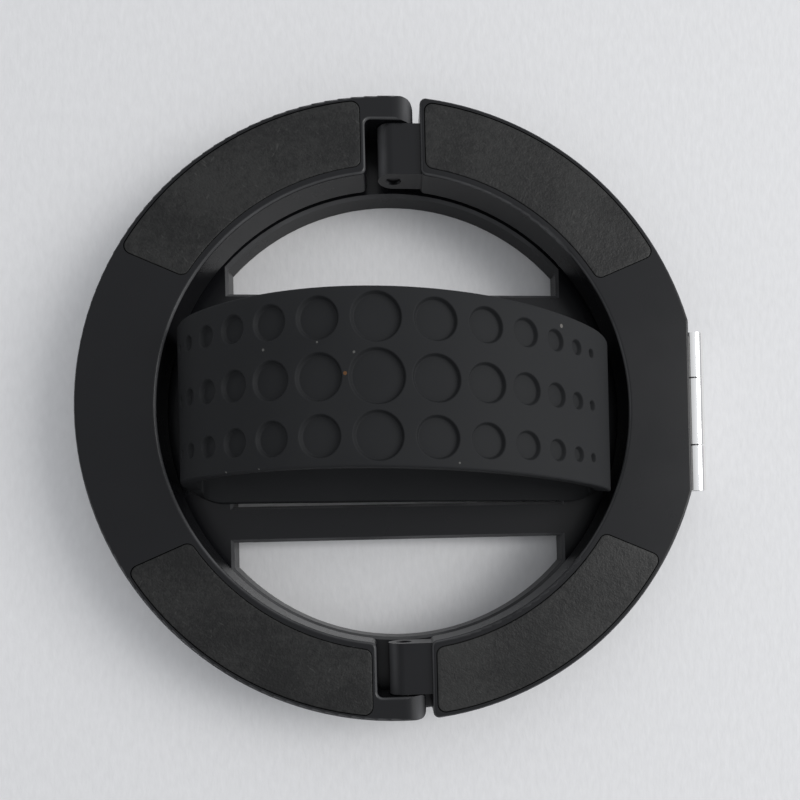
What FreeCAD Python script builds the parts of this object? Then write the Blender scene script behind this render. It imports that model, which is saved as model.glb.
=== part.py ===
"""Phone ring holder: a magnetic base ring with a finger strap, and a folding upper ring hinged to it.

Frame: millimetres, +Z up. The underside of the face pad, which lies on the phone, is z = 0, and the
origin is the ring's centre. The hinge that lifts the upper ring is at +X, and the fold runs along Y.
"""
import FreeCAD, Part
import math
import os

import Sketcher
from FreeCAD import Placement, Rotation, Vector

doc = FreeCAD.newDocument("phone_ring_holder")

# Driving dimensions, in millimetres, and in degrees where the name says angle
SIZES = {
    # rings
    "ring_radius": 31.0,
    "ring_width": 7.65,
    "flat_cut": 1.25,
    "ring_thickness": 4.2,
    "ring_gap": 1.0,
    "corner_radius": 0.6,
    "edge_radius": 0.3,
    # fold between the two halves of the upper ring
    "fold_gap_half": 2.75,
    "lug_width": 2.4,
    "lug_side_gap": 0.1,
    "tongue_thickness": 3.1,
    "tongue_root": 1.0,
    "tongue_setback": 0.05,
    "fold_pin_radius": 0.75,
    "fold_pin_clearance": 0.03,
    "fold_pin_recess": 0.3,
    "fold_pin_depth": 1.7,
    # pads set into the top of the upper ring, and the magnets under them
    "pad_outer_rim": 0.5,
    "pad_inner_rim": 0.7,
    "pad_end_rim": 0.45,
    "pad_far_angle": 23.27,
    "pad_far_offset": 3.72,
    "pad_thickness": 0.8,
    "pad_corner_radius": 0.8,
    "pad_edge_radius": 0.15,
    "pad_clearance": 0.05,
    "pad_magnet_rim": 1.9,
    "pad_magnet_inner_rim": 2.05,
    "pad_magnet_height": 2.0,
    "pad_magnet_first_angle": 37.0,
    "pad_magnet_span_angle": 40.0,
    "magnet_gap_angle": 1.0,
    "magnet_clearance": 0.08,
    # base ring
    "base_thickness": 2.7,
    "base_ring_width": 7.7,
    "chord_inset": 6.0,
    "bar_gap": 0.45,
    "bar_width": 3.7,
    "window_chamfer": 0.3,
    "face_pad_proud": 0.1,
    "face_pad_seat": 0.45,
    "face_pad_rim": 1.8,
    "face_pad_inner_rim": 0.7,
    "base_magnet_rim": 1.5,
    "base_magnet_inner_rim": 0.6,
    "base_magnet_height": 1.5,
    # finger strap
    "strap_half_width": 7.5,
    "strap_land": 4.3,
    "strap_spring_height": 5.0,
    "strap_rise": 15.1,
    "strap_flank_radius": 10.8,
    "strap_thickness": 1.5,
    "strap_run_thickness": 1.2,
    "strap_run_overhang": 1.3,
    "strap_run_setback": 1.6,
    "strap_run_corner_radius": 1.2,
    "strap_turn_radius": 1.6,
    "strap_inner_turn_radius": 0.2,
    "strap_edge_radius": 0.4,
    "dimple_depth": 0.35,
    "dimple_row_inset": 2.55,
    "dimple_first_pitch": 4.83,
    "dimple_pitch_step": 0.39,
    "dimple_diameter": 4.8,
    "dimple_diameter_step": 0.58,
    "dimple_side_row_share": 0.9,
    "dimple_slide": 1.5,
    # lift hinge between the base and the upper ring
    "hinge_axis_offset": 2.1,
    "barrel_radius": 1.3,
    "leaf_thickness": 0.45,
    "leaf_half_length": 8.45,
    "leaf_depth": 4.75,
    "knuckle_half_length": 3.6,
    "knuckle_gap": 0.16,
    "barrel_relief": 0.15,
    "hinge_pin_radius": 0.6,
    "hinge_pin_clearance": 0.03,
    # countersunk screws that hold the two hinge leaves
    "screw_setback": 1.25,
    "screw_spacing_half": 5.6,
    "screw_radius": 0.5,
    "screw_head_radius": 0.85,
    "screw_head_height": 0.35,
    "screw_depth": 1.4,
    "screw_clearance": 0.02,
}
BASE_MAGNETS = 16
PAD_MAGNETS = 4
DIMPLE_COLUMNS_EACH_SIDE = 6

sheet = doc.addObject("Spreadsheet::Sheet", "sizes")
for row, (alias, number) in enumerate(SIZES.items(), start=1):
    sheet.set(f"A{row}", alias)
    sheet.set(f"B{row}", str(number))
    sheet.setAlias(f"B{row}", alias)
doc.recompute()


# Sizes that follow from others: sums of cells, a minus sign before what is taken away
SUMS = {
    "bore_radius": ("ring_radius", "-ring_width"),
    "flat_distance": ("ring_radius", "-flat_cut"),
    "pad_magnet_outer_radius": ("ring_radius", "-pad_magnet_rim"),
    "pad_magnet_inner_radius": ("bore_radius", "pad_magnet_inner_rim"),
    "base_bore_radius": ("ring_radius", "-base_ring_width"),
    "chord_distance": ("base_bore_radius", "-chord_inset"),
    "face_pad_outer_radius": ("ring_radius", "-face_pad_rim"),
    "face_pad_inner_radius": ("base_bore_radius", "face_pad_inner_rim"),
    "base_magnet_outer_radius": ("face_pad_outer_radius", "-base_magnet_rim"),
    "base_magnet_inner_radius": ("face_pad_inner_radius", "base_magnet_inner_rim"),
    "strap_run_half_width": ("strap_half_width", "strap_run_overhang"),
    "bar_inner": ("strap_run_half_width", "bar_gap"),
    "strap_half_span": ("chord_distance", "strap_land"),
    "strap_run_half_length": ("strap_half_span", "-strap_run_setback"),
    "dimple_row_pitch": ("strap_half_width", "-dimple_row_inset"),
    "base_top": ("face_pad_proud", "base_thickness"),
    "ring_bottom": ("base_top", "ring_gap"),
    "ring_top": ("ring_bottom", "ring_thickness"),
    "lug_inner": ("ring_radius", "-lug_width"),
    "tongue_outer": ("lug_inner", "-lug_side_gap"),
    "tongue_inner": ("bore_radius", "tongue_setback"),
    "hinge_x": ("flat_distance", "hinge_axis_offset"),
    "screw_x": ("flat_distance", "-screw_setback"),
}


def size(name):
    """The number of a cell of the sheet, or of a sum of cells."""
    if name not in SUMS:
        return float(sheet.get(name))
    return sum(-size(term[1:]) if term.startswith("-") else size(term) for term in SUMS[name])


def named(name):
    """The expression of a cell of the sheet, or of a sum of cells."""
    if name not in SUMS:
        return f"sizes.{name}"
    first, *others = SUMS[name]
    terms = [f"- {named(term[1:])}" if term.startswith("-") else f"+ {named(term)}" for term in others]
    return f"({named(first)} {' '.join(terms)})"


# Heights and places that several pieces share: the expression, and its number for first outlines
BASE_TOP = named("base_top")
RING_BOTTOM = named("ring_bottom")
RING_TOP = named("ring_top")
FOLD_HEIGHT = f"({RING_BOTTOM} + sizes.ring_thickness / 2)"
HINGE_X = named("hinge_x")
HINGE_HEIGHT = f"({BASE_TOP} + sizes.ring_gap / 2)"
SCREW_X = named("screw_x")
LUG_INNER = named("lug_inner")
TONGUE_OUTER = named("tongue_outer")
TONGUE_INNER = named("tongue_inner")
base_top, ring_bottom, ring_top = size("base_top"), size("ring_bottom"), size("ring_top")
fold_height = ring_bottom + size("ring_thickness") / 2
lug_inner = size("lug_inner")
half_turn = math.pi

parts = []


def new_body(label):
    """A body that becomes one sub-part."""
    body = doc.addObject("PartDesign::Body", label)
    body.Label = label
    parts.append(body)
    return body


def new_sketch(body, name, role, offset):
    """A sketch on an origin plane of its body, moved along that plane's normal."""
    plane = next(feature for feature in body.Origin.OriginFeatures if feature.Role == role)
    sketch = body.newObject("Sketcher::SketchObject", name)
    sketch.AttachmentSupport = (plane, [""])
    sketch.MapMode = "FlatFace"
    sketch.setExpression("AttachmentOffset.Base.z", offset)
    return sketch


def line(x_1, y_1, x_2, y_2):
    return Part.LineSegment(Vector(x_1, y_1, 0), Vector(x_2, y_2, 0))


def arc(radius, start, end, x=0.0, y=0.0):
    """An arc that runs anticlockwise between two angles in radians."""
    return Part.ArcOfCircle(Part.Circle(Vector(x, y, 0), Vector(0, 0, 1), radius), start, end)


def add_outline(sketch, edges, joint="Coincident"):
    """Adds a closed outline, joined or tangent end to end, and returns the numbers of its edges."""
    first = sketch.GeometryCount
    for edge in edges:
        sketch.addGeometry(edge, False)
    free = {(number, end) for number in range(len(edges)) for end in (1, 2)}

    def point(number, end):
        return edges[number].StartPoint if end == 1 else edges[number].EndPoint

    for number in range(len(edges)):
        follower = (number + 1) % len(edges)
        pairs = [(a, b) for a in (1, 2) for b in (1, 2) if (number, a) in free and (follower, b) in free]
        a, b = min(pairs, key=lambda pair: (point(number, pair[0]) - point(follower, pair[1])).Length)
        free -= {(number, a), (follower, b)}
        sketch.addConstraint(Sketcher.Constraint(joint, first + number, a, first + follower, b))
    return [first + number for number in range(len(edges))]


def dimension(sketch, expression, *constraint):
    """Adds a constraint that takes its number from the sheet."""
    number = sketch.addConstraint(Sketcher.Constraint(*constraint))
    sketch.setExpression(f"Constraints[{number}]", expression)


def centre_on_origin(sketch, *edges):
    for edge in edges:
        sketch.addConstraint(Sketcher.Constraint("Coincident", edge, 3, -1, 1))


def square_up(sketch, kind, *edges):
    for edge in edges:
        sketch.addConstraint(Sketcher.Constraint(kind, edge))


def place_x(sketch, edge, expression, x):
    """Holds the first end of an edge at a distance from the Y axis, on the side of x."""
    if x > 0:
        dimension(sketch, expression, "DistanceX", -1, 1, edge, 1, x)
    else:
        dimension(sketch, expression, "DistanceX", edge, 1, -1, 1, -x)


def place_y(sketch, edge, expression, y):
    """Holds the first end of an edge at a distance from the X axis, on the side of y."""
    if y > 0:
        dimension(sketch, expression, "DistanceY", -1, 1, edge, 1, y)
    else:
        dimension(sketch, expression, "DistanceY", edge, 1, -1, 1, -y)


def add_rectangle(sketch, left, right, low, high):
    """A rectangle from four (number, expression for its distance from the axis) pairs."""
    edges = add_outline(sketch, [line(left[0], low[0], right[0], low[0]),
                                 line(right[0], low[0], right[0], high[0]),
                                 line(right[0], high[0], left[0], high[0]),
                                 line(left[0], high[0], left[0], low[0])])
    square_up(sketch, "Horizontal", edges[0], edges[2])
    square_up(sketch, "Vertical", edges[1], edges[3])
    place_x(sketch, edges[1], right[1], right[0])
    place_x(sketch, edges[3], left[1], left[0])
    place_y(sketch, edges[0], low[1], low[0])
    place_y(sketch, edges[2], high[1], high[0])


def add_circle(sketch, expression, radius, x=0.0, y=0.0):
    """A circle about the origin, or about a point that the caller fixes."""
    edge = sketch.addGeometry(Part.Circle(Vector(x, y, 0), Vector(0, 0, 1), radius), False)
    dimension(sketch, expression, "Radius", edge, radius)
    if x == 0.0 and y == 0.0:
        centre_on_origin(sketch, edge)
    return edge


def pad(body, sketch, name, length):
    feature = body.newObject("PartDesign::Pad", name)
    feature.Profile = sketch
    feature.setExpression("Length", length)
    doc.recompute()
    return feature


def pocket(body, sketch, name, depth=None, through_both_ways=False):
    """Cuts against the sketch's normal to a depth, or right through, or through both ways."""
    before = body.Shape.Volume
    feature = body.newObject("PartDesign::Pocket", name)
    feature.Profile = sketch
    if depth is None:
        feature.Type = "ThroughAll"
    else:
        feature.setExpression("Length", depth)
    if through_both_ways:
        feature.SideType = "Symmetric"
    doc.recompute()
    if body.Shape.Volume >= before:
        raise RuntimeError(f"{name} cuts nothing")
    return feature


def dress(body, kind, name, edges, radius):
    """A fillet or chamfer on the named edges of the body's last feature."""
    base = body.Tip
    feature = body.newObject(f"PartDesign::{kind}", name)
    feature.Base = (base, edges)
    feature.setExpression("Radius" if kind == "Fillet" else "Size", radius)
    doc.recompute()
    if not feature.isValid():
        raise RuntimeError(f"{name} of {body.Label} failed on {edges}")
    return feature


def edges_where(shape, test):
    return [f"Edge{number}" for number, edge in enumerate(shape.Edges, start=1) if test(edge)]


def stands(edge, low, high):
    """True for a straight upright edge between two heights."""
    box = edge.BoundBox
    upright = box.XLength + box.YLength < 1e-6
    return upright and abs(box.ZMin - low) < 1e-6 and abs(box.ZMax - high) < 1e-6


def lies_at(edge, *heights):
    """True for an edge that lies flat at one of the heights."""
    box = edge.BoundBox
    return box.ZLength < 1e-6 and any(abs(box.ZMin - height) < 1e-6 for height in heights)


# Outline of a pad: two arcs, a straight end beside the fold and a slanted far end
def pad_far_point(radius, offset):
    """Where the far end line of a pad, at a distance from the centre, meets a circle."""
    slant = math.radians(size("pad_far_angle"))
    along = math.sqrt(radius ** 2 - offset ** 2)
    x = along * math.cos(slant) - offset * math.sin(slant)
    y = along * math.sin(slant) + offset * math.cos(slant)
    return x, y


def add_pad_outline(sketch, side_x, side_y, grow, grow_name):
    """Draws one pad outline, grown by a clearance, in the quarter of the two signs."""
    outer = size("ring_radius") - size("pad_outer_rim") + grow
    inner = size("bore_radius") + size("pad_inner_rim") - grow
    near = size("fold_gap_half") + size("pad_end_rim") - grow
    offset = size("pad_far_offset") - grow
    outer_near = math.sqrt(outer ** 2 - near ** 2)
    inner_near = math.sqrt(inner ** 2 - near ** 2)

    def at(x, y):
        return x * side_x, y * side_y

    def swept(radius, one, two):
        start, end = math.atan2(one[1], one[0]), math.atan2(two[1], two[0])
        if (end - start) % (2 * half_turn) > half_turn:
            start, end = end, start
        return arc(radius, start, end)

    near_out, near_in = at(near, outer_near), at(near, inner_near)
    far_out, far_in = at(*pad_far_point(outer, offset)), at(*pad_far_point(inner, offset))
    edges = add_outline(sketch, [swept(outer, near_out, far_out), line(*far_out, *far_in),
                                 swept(inner, far_in, near_in), line(*near_in, *near_out)])
    centre_on_origin(sketch, edges[0], edges[2])
    dimension(sketch, f"sizes.ring_radius - sizes.pad_outer_rim + {grow_name}", "Radius", edges[0], outer)
    inner_name = f"{named('bore_radius')} + sizes.pad_inner_rim - {grow_name}"
    dimension(sketch, inner_name, "Radius", edges[2], inner)
    square_up(sketch, "Vertical", edges[3])
    place_x(sketch, edges[3], f"sizes.fold_gap_half + sizes.pad_end_rim - {grow_name}", near * side_x)
    dimension(sketch, f"sizes.pad_far_offset - {grow_name}", "Distance", -1, 1, edges[1], offset)


def add_magnet_sector(sketch, side_x, side_y):
    """Draws the channel for the magnets under one pad, between two radial ends."""
    clear = size("magnet_clearance")
    inner = size("pad_magnet_inner_radius") - clear
    outer = size("pad_magnet_outer_radius") + clear
    room = math.radians(size("magnet_gap_angle"))
    first = math.radians(size("pad_magnet_first_angle")) - room
    last = math.radians(size("pad_magnet_first_angle") + size("pad_magnet_span_angle")) + room
    angles = sorted(math.atan2(math.sin(a) * side_y, math.cos(a) * side_x) for a in (first, last))
    edges = add_sector(sketch, inner, outer, *angles)
    outer_name = f"{named('pad_magnet_outer_radius')} + sizes.magnet_clearance"
    inner_name = f"{named('pad_magnet_inner_radius')} - sizes.magnet_clearance"
    dimension(sketch, outer_name, "Radius", edges[0], outer)
    dimension(sketch, inner_name, "Radius", edges[2], inner)


# Half frames of the upper ring: C-shaped bars with square ends beside the fold
def soften(body):
    """Rounds the plan corners of a half frame, and then its top and bottom rims."""
    corners = edges_where(body.Shape, lambda edge: stands(edge, ring_bottom, ring_top))
    dress(body, "Fillet", "plan_corners", corners, "sizes.corner_radius")
    rims = edges_where(body.Shape, lambda edge: lies_at(edge, ring_bottom, ring_top))
    dress(body, "Fillet", "rims", rims, "sizes.edge_radius")


def cut_pad_seats(body, side_x):
    """Sinks the two pad seats of a half frame and the magnet channels in their floors."""
    seat = new_sketch(body, "pad_seat_outline", "XY_Plane", RING_TOP)
    for side_y in (1, -1):
        add_pad_outline(seat, side_x, side_y, size("pad_clearance"), "sizes.pad_clearance")
    pocket(body, seat, "pad_seats", "sizes.pad_thickness")
    floor = ring_top - size("pad_thickness")
    corners = edges_where(body.Shape, lambda edge: stands(edge, floor, ring_top))
    dress(body, "Fillet", "pad_seat_corners", corners, "sizes.pad_corner_radius + sizes.pad_clearance")
    channel = new_sketch(body, "magnet_channel_outline", "XY_Plane", f"{RING_TOP} - sizes.pad_thickness")
    for side_y in (1, -1):
        add_magnet_sector(channel, side_x, side_y)
    pocket(body, channel, "magnet_channels", "sizes.pad_magnet_height + sizes.magnet_clearance")


def bore_for_fold_pins(body, near, depth):
    """Drills both fold pin holes outward from their inner faces, a distance from the ring's centre."""
    radius = size("fold_pin_radius") + size("fold_pin_clearance")
    for word, start in (("upper", f"-({near})"), ("lower", f"({near}) + ({depth})")):
        hole = new_sketch(body, f"{word}_pin_hole", "XZ_Plane", start)
        edge = add_circle(hole, "sizes.fold_pin_radius + sizes.fold_pin_clearance", radius, 0.0, fold_height)
        hole.addConstraint(Sketcher.Constraint("PointOnObject", edge, 3, -2))
        dimension(hole, FOLD_HEIGHT, "DistanceY", -1, 1, edge, 3, fold_height)
        pocket(body, hole, f"{word}_pin_bore", depth)


def fix_centre(sketch, edge, x, y):
    """Holds the centre of a circle by two (number, expression) pairs."""
    dimension(sketch, x[1], "DistanceX", -1, 1, edge, 3, x[0])
    dimension(sketch, y[1], "DistanceY", -1, 1, edge, 3, y[0])


def add_screw_circles(sketch):
    """The two holes of a hinge leaf, with running room for the screws."""
    radius = size("screw_radius") + size("screw_clearance")
    x, spacing = size("screw_x"), size("screw_spacing_half")
    for side in (1, -1):
        edge = add_circle(sketch, "sizes.screw_radius + sizes.screw_clearance", radius, x, side * spacing)
        dimension(sketch, SCREW_X, "DistanceX", -1, 1, edge, 3, x)
        ends = (-1, 1, edge, 3) if side > 0 else (edge, 3, -1, 1)
        dimension(sketch, "sizes.screw_spacing_half", "DistanceY", *ends, spacing)


def add_sector(sketch, inner, outer, start, end):
    """A ring sector between two radial ends, and the numbers of its four edges."""
    edges = add_outline(sketch, [arc(outer, start, end),
                                 line(*polar(outer, end), *polar(inner, end)),
                                 arc(inner, start, end),
                                 line(*polar(inner, start), *polar(outer, start))])
    centre_on_origin(sketch, edges[0], edges[2])
    for edge in (edges[1], edges[3]):
        sketch.addConstraint(Sketcher.Constraint("PointOnObject", -1, 1, edge))
    return edges


def polar(radius, angle):
    return radius * math.cos(angle), radius * math.sin(angle)


# Upper ring, right half: carries the tongues of the fold and the flat beside the lift hinge
def make_right_half():
    body = new_body("right_half_frame")
    ring, bore = size("ring_radius"), size("bore_radius")
    end, flat = size("fold_gap_half"), size("flat_distance")
    outer_end, inner_end = math.acos(end / ring), math.acos(end / bore)
    flat_end = math.acos(flat / ring)
    outer_y, inner_y = math.sqrt(ring ** 2 - end ** 2), math.sqrt(bore ** 2 - end ** 2)
    flat_y = math.sqrt(ring ** 2 - flat ** 2)
    plan = new_sketch(body, "plan", "XY_Plane", RING_BOTTOM)
    edges = add_outline(plan, [arc(ring, flat_end, outer_end), line(end, outer_y, end, inner_y),
                               arc(bore, -inner_end, inner_end), line(end, -inner_y, end, -outer_y),
                               arc(ring, -outer_end, -flat_end), line(flat, -flat_y, flat, flat_y)])
    centre_on_origin(plan, edges[0], edges[2], edges[4])
    for edge in (edges[0], edges[4]):
        dimension(plan, "sizes.ring_radius", "Radius", edge, ring)
    dimension(plan, named("bore_radius"), "Radius", edges[2], bore)
    square_up(plan, "Vertical", edges[1], edges[3], edges[5])
    for edge in (edges[1], edges[3]):
        place_x(plan, edge, "sizes.fold_gap_half", end)
    place_x(plan, edges[5], named("flat_distance"), flat)
    pad(body, plan, "ring_half", "sizes.ring_thickness")
    soften(body)
    add_tongues(body)
    cut_pad_seats(body, 1)
    bore_for_fold_pins(body, TONGUE_INNER, f"({TONGUE_OUTER} - {TONGUE_INNER})")
    holes = new_sketch(body, "leaf_screw_holes", "XY_Plane", f"{RING_BOTTOM} + sizes.screw_depth")
    add_screw_circles(holes)
    pocket(body, holes, "leaf_screw_bores")


def add_tongues(body):
    """The two round-ended tongues that lie inside the lugs of the other half."""
    radius, root = size("tongue_thickness") / 2, size("fold_gap_half") + size("tongue_root")
    top, low = fold_height + radius, fold_height - radius
    for word, start in (("upper", f"-{TONGUE_OUTER}"), ("lower", TONGUE_INNER)):
        side = new_sketch(body, f"{word}_tongue_side", "XZ_Plane", start)
        edges = add_outline(side, [arc(radius, half_turn / 2, 3 * half_turn / 2, 0.0, fold_height),
                                   line(0.0, low, root, low), line(root, low, root, top),
                                   line(root, top, 0.0, top)])
        square_up(side, "Horizontal", edges[1], edges[3])
        square_up(side, "Vertical", edges[2])
        side.addConstraint(Sketcher.Constraint("PointOnObject", edges[0], 1, -2))
        side.addConstraint(Sketcher.Constraint("PointOnObject", edges[0], 2, -2))
        dimension(side, "sizes.tongue_thickness / 2", "Radius", edges[0], radius)
        place_x(side, edges[2], "sizes.fold_gap_half + sizes.tongue_root", root)
        dimension(side, FOLD_HEIGHT, "DistanceY", -1, 1, edges[0], 3, fold_height)
        pad(body, side, f"{word}_tongue", f"{TONGUE_OUTER} - {TONGUE_INNER}")


# Upper ring, left half: carries the lugs of the fold, with ends turned about the fold pins
def make_left_half():
    body = new_body("left_half_frame")
    ring, bore, end = size("ring_radius"), size("bore_radius"), size("fold_gap_half")
    lug_end = size("ring_thickness") / 2
    lug_angle = math.acos(lug_end / ring)
    bore_angle = half_turn - math.acos(end / bore)
    lug_y, inner_y = math.sqrt(ring ** 2 - lug_end ** 2), math.sqrt(bore ** 2 - end ** 2)
    plan = new_sketch(body, "plan", "XY_Plane", RING_BOTTOM)
    edges = add_outline(plan, [arc(ring, lug_angle, 2 * half_turn - lug_angle),
                               line(lug_end, -lug_y, lug_end, -lug_inner),
                               line(lug_end, -lug_inner, -end, -lug_inner),
                               line(-end, -lug_inner, -end, -inner_y),
                               arc(bore, bore_angle, 2 * half_turn - bore_angle),
                               line(-end, inner_y, -end, lug_inner),
                               line(-end, lug_inner, lug_end, lug_inner),
                               line(lug_end, lug_inner, lug_end, lug_y)])
    centre_on_origin(plan, edges[0], edges[4])
    dimension(plan, "sizes.ring_radius", "Radius", edges[0], ring)
    dimension(plan, named("bore_radius"), "Radius", edges[4], bore)
    square_up(plan, "Vertical", edges[1], edges[3], edges[5], edges[7])
    square_up(plan, "Horizontal", edges[2], edges[6])
    for edge in (edges[1], edges[7]):
        place_x(plan, edge, "sizes.ring_thickness / 2", lug_end)
    for edge in (edges[3], edges[5]):
        place_x(plan, edge, "sizes.fold_gap_half", -end)
    place_y(plan, edges[2], LUG_INNER, -lug_inner)
    place_y(plan, edges[6], LUG_INNER, lug_inner)
    pad(body, plan, "ring_half", "sizes.ring_thickness")
    soften(body)
    round_lug_ends(body)
    cut_pad_seats(body, -1)
    bore_for_fold_pins(body, LUG_INNER, "sizes.fold_pin_depth")


def round_lug_ends(body):
    """Trims the lug ends to a half round about the fold axis."""
    radius = size("ring_thickness") / 2
    reach = 2 * radius
    top, low = fold_height + radius, fold_height - radius
    side = new_sketch(body, "lug_end_side", "XZ_Plane", "0")
    edges = add_outline(side, [arc(radius, -half_turn / 2, half_turn / 2, 0.0, fold_height),
                               line(0.0, top, 0.0, top + radius),
                               line(0.0, top + radius, reach, top + radius),
                               line(reach, top + radius, reach, low - radius),
                               line(reach, low - radius, 0.0, low - radius),
                               line(0.0, low - radius, 0.0, low)])
    square_up(side, "Vertical", edges[1], edges[3], edges[5])
    square_up(side, "Horizontal", edges[2], edges[4])
    side.addConstraint(Sketcher.Constraint("PointOnObject", edges[0], 3, -2))
    dimension(side, "sizes.ring_thickness / 2", "Radius", edges[0], radius)
    dimension(side, FOLD_HEIGHT, "DistanceY", -1, 1, edges[0], 3, fold_height)
    pocket(body, side, "lug_end_rounds", through_both_ways=True)


# Fold pins: fixed in the lugs, turning in the tongues
def make_fold_pins():
    length = f"({LUG_INNER} + sizes.fold_pin_depth - {TONGUE_INNER} - 2 * sizes.fold_pin_recess)"
    near = f"({TONGUE_INNER} + sizes.fold_pin_recess)"
    for label, start in (("upper_fold_pin", near), ("lower_fold_pin", f"-({near} + {length})")):
        pin = doc.addObject("Part::Cylinder", label)
        pin.Label = label
        pin.setExpression("Radius", "sizes.fold_pin_radius")
        pin.setExpression("Height", length)
        pin.Placement = Placement(Vector(), Rotation(Vector(1, 0, 0), -90))
        pin.setExpression("Placement.Base.y", start)
        pin.setExpression("Placement.Base.z", FOLD_HEIGHT)
        parts.append(pin)


# Pads with their magnets: two on each half of the upper ring
def make_pads():
    for side_x, word_x in ((1, "right"), (-1, "left")):
        for side_y, word_y in ((1, "upper"), (-1, "lower")):
            body = new_body(f"{word_y}_{word_x}_pad")
            plan = new_sketch(body, "plan", "XY_Plane", f"{RING_TOP} - sizes.pad_thickness")
            add_pad_outline(plan, side_x, side_y, 0.0, "0")
            pad(body, plan, "sheet", "sizes.pad_thickness")
            floor = ring_top - size("pad_thickness")
            corners = edges_where(body.Shape, lambda edge: stands(edge, floor, ring_top))
            dress(body, "Fillet", "corners", corners, "sizes.pad_corner_radius")
            rim = edges_where(body.Shape, lambda edge: lies_at(edge, ring_top))
            dress(body, "Fillet", "rim", rim, "sizes.pad_edge_radius")
            make_pad_magnets(f"{word_y}_{word_x}_magnets", side_x, side_y)


def make_pad_magnets(label, side_x, side_y):
    """A row of arc magnets that lies in the channel under one pad."""
    body = new_body(label)
    body.AllowCompound = True
    bottom = f"{RING_TOP} - sizes.pad_thickness - sizes.pad_magnet_height"
    plan = new_sketch(body, "plan", "XY_Plane", bottom)
    inner, outer = size("pad_magnet_inner_radius"), size("pad_magnet_outer_radius")
    first = math.radians(size("pad_magnet_first_angle"))
    gap = math.radians(size("magnet_gap_angle"))
    step = (math.radians(size("pad_magnet_span_angle")) + gap) / PAD_MAGNETS
    for number in range(PAD_MAGNETS):
        start = first + number * step
        turned = [math.atan2(math.sin(a) * side_y, math.cos(a) * side_x) for a in (start, start + step - gap)]
        edges = add_sector(plan, inner, outer, *sorted(turned))
        dimension(plan, named("pad_magnet_outer_radius"), "Radius", edges[0], outer)
        dimension(plan, named("pad_magnet_inner_radius"), "Radius", edges[2], inner)
    pad(body, plan, "magnets", "sizes.pad_magnet_height")


# Base: a ring with two bars across it, open windows between them, and a magnet channel underneath
def make_base():
    body = new_body("base_frame")
    ring, flat = size("ring_radius"), size("flat_distance")
    flat_end = math.acos(flat / ring)
    flat_y = math.sqrt(ring ** 2 - flat ** 2)
    plan = new_sketch(body, "plan", "XY_Plane", "sizes.face_pad_proud")
    edges = add_outline(plan, [arc(ring, flat_end, 2 * half_turn - flat_end),
                               line(flat, -flat_y, flat, flat_y)])
    centre_on_origin(plan, edges[0])
    dimension(plan, "sizes.ring_radius", "Radius", edges[0], ring)
    square_up(plan, "Vertical", edges[1])
    place_x(plan, edges[1], named("flat_distance"), flat)
    pad(body, plan, "disc", "sizes.base_thickness")
    low = size("face_pad_proud")
    corners = edges_where(body.Shape, lambda edge: stands(edge, low, base_top))
    dress(body, "Fillet", "plan_corners", corners, "sizes.corner_radius")
    rims = edges_where(body.Shape, lambda edge: lies_at(edge, low, base_top))
    dress(body, "Fillet", "rims", rims, "sizes.edge_radius")
    cut_windows(body)
    cut_base_underside(body)
    holes = new_sketch(body, "leaf_screw_holes", "XY_Plane", BASE_TOP)
    add_screw_circles(holes)
    pocket(body, holes, "leaf_screw_bores", "sizes.screw_depth")


def cut_windows(body):
    """Two D-shaped windows and the middle window, chamfered along their top edges."""
    bore, chord = size("base_bore_radius"), size("chord_distance")
    bar = size("bar_inner") + size("bar_width")
    corner_y = math.sqrt(bore ** 2 - chord ** 2)
    corner = math.atan2(corner_y, chord)
    openings = new_sketch(body, "windows_outline", "XY_Plane", BASE_TOP)
    for side in (1, -1):
        rim = arc(bore, corner, half_turn - corner) if side > 0 else arc(bore, half_turn + corner, -corner)
        edges = add_outline(openings, [rim, line(-chord, side * corner_y, -chord, side * bar),
                                       line(-chord, side * bar, chord, side * bar),
                                       line(chord, side * bar, chord, side * corner_y)])
        centre_on_origin(openings, edges[0])
        dimension(openings, named("base_bore_radius"), "Radius", edges[0], bore)
        square_up(openings, "Vertical", edges[1], edges[3])
        square_up(openings, "Horizontal", edges[2])
        place_x(openings, edges[1], named("chord_distance"), -chord)
        place_x(openings, edges[3], named("chord_distance"), chord)
        place_y(openings, edges[2], f"{named('bar_inner')} + sizes.bar_width", side * bar)
    inner = size("bar_inner")
    add_rectangle(openings, (-chord, named("chord_distance")), (chord, named("chord_distance")),
                  (-inner, named("bar_inner")), (inner, named("bar_inner")))
    pocket(body, openings, "windows")
    reach = bore + size("edge_radius")
    inside = edges_where(body.Shape, lambda edge: lies_at(edge, base_top) and edge.BoundBox.XMax < reach
                         and edge.BoundBox.XMin > -reach)
    dress(body, "Chamfer", "window_edges", inside, "sizes.window_chamfer")


def cut_base_underside(body):
    """The magnet channel, and the shallow seat of the face pad that closes it."""
    clear = size("magnet_clearance")
    seat_top = "sizes.face_pad_proud + sizes.face_pad_seat"
    channel = new_sketch(body, "magnet_channel_outline", "XY_Plane",
                         f"{seat_top} + sizes.base_magnet_height + sizes.magnet_clearance")
    add_circle(channel, f"{named('base_magnet_outer_radius')} + sizes.magnet_clearance",
               size("base_magnet_outer_radius") + clear)
    add_circle(channel, f"{named('base_magnet_inner_radius')} - sizes.magnet_clearance",
               size("base_magnet_inner_radius") - clear)
    pocket(body, channel, "magnet_channel")
    seat = new_sketch(body, "face_pad_seat_outline", "XY_Plane", seat_top)
    add_circle(seat, f"{named('face_pad_outer_radius')} + sizes.pad_clearance",
               size("face_pad_outer_radius") + size("pad_clearance"))
    add_circle(seat, f"{named('face_pad_inner_radius')} - sizes.pad_clearance",
               size("face_pad_inner_radius") - size("pad_clearance"))
    pocket(body, seat, "face_pad_seat")


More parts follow.
